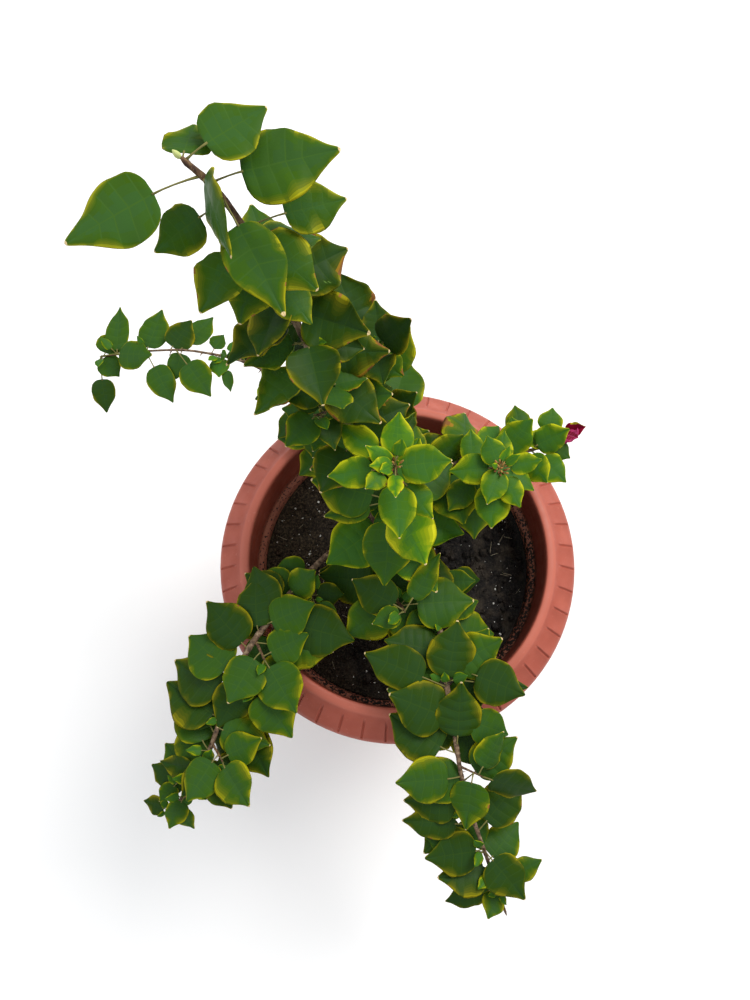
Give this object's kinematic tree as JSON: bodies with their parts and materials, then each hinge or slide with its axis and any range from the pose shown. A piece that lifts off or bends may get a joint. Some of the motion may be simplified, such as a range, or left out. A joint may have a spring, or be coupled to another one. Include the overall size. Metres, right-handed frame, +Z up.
{
  "type": "potted bougainvillea bush",
  "caption": "Potted bougainvillea bush: a tall leaning cane, an upright rosette shoot and long leafy branches that weep over the rim of a round plastic pot.",
  "frame": {"origin": "middle of the pot's flat underside", "axes": "+Z up; -Y towards the viewer, where the two long branches weep over the rim; +X to the viewer's right; the tall cane leans towards -X and +Y"},
  "size_m": [0.5446, 0.6864, 0.7486],
  "materials": {
    "pot_plastic": "terracotta-coloured moulded plastic, satin",
    "potting_soil": "dark crumbly potting mix, moist, with white perlite specks",
    "bark": "thin brown bark, lightly ridged, matt",
    "foliage": "mid-green leaves with yellow margins, satin",
    "bract": "magenta papery bracts"
  },
  "bodies": {
    "root": {"pot": "pot_plastic", "soil": "potting_soil", "trunk": "bark", "tall_bough": "bark", "middle_bough": "bark", "left_bough": "bark", "centre_bough": "bark", "right_bough": "bark", "front_left_bough": "bark", "front_right_bough": "bark", "front_bough": "bark", "tall_low": "foliage", "tall_middle": "foliage", "tall_top": "foliage", "middle_low": "foliage", "middle_top": "foliage", "left_low": "foliage", "left_middle": "foliage", "left_tip": "foliage", "centre_low": "foliage", "centre_rosette": "foliage", "right_rosette": "foliage", "right_tip": "foliage", "front_left_top": "foliage", "front_left_middle": "foliage", "front_left_tip": "foliage", "front_right_top": "foliage", "front_right_middle": "foliage", "front_right_low": "foliage", "front_right_tip": "foliage", "front_leaves": "foliage"}
  },
  "joints": []
}
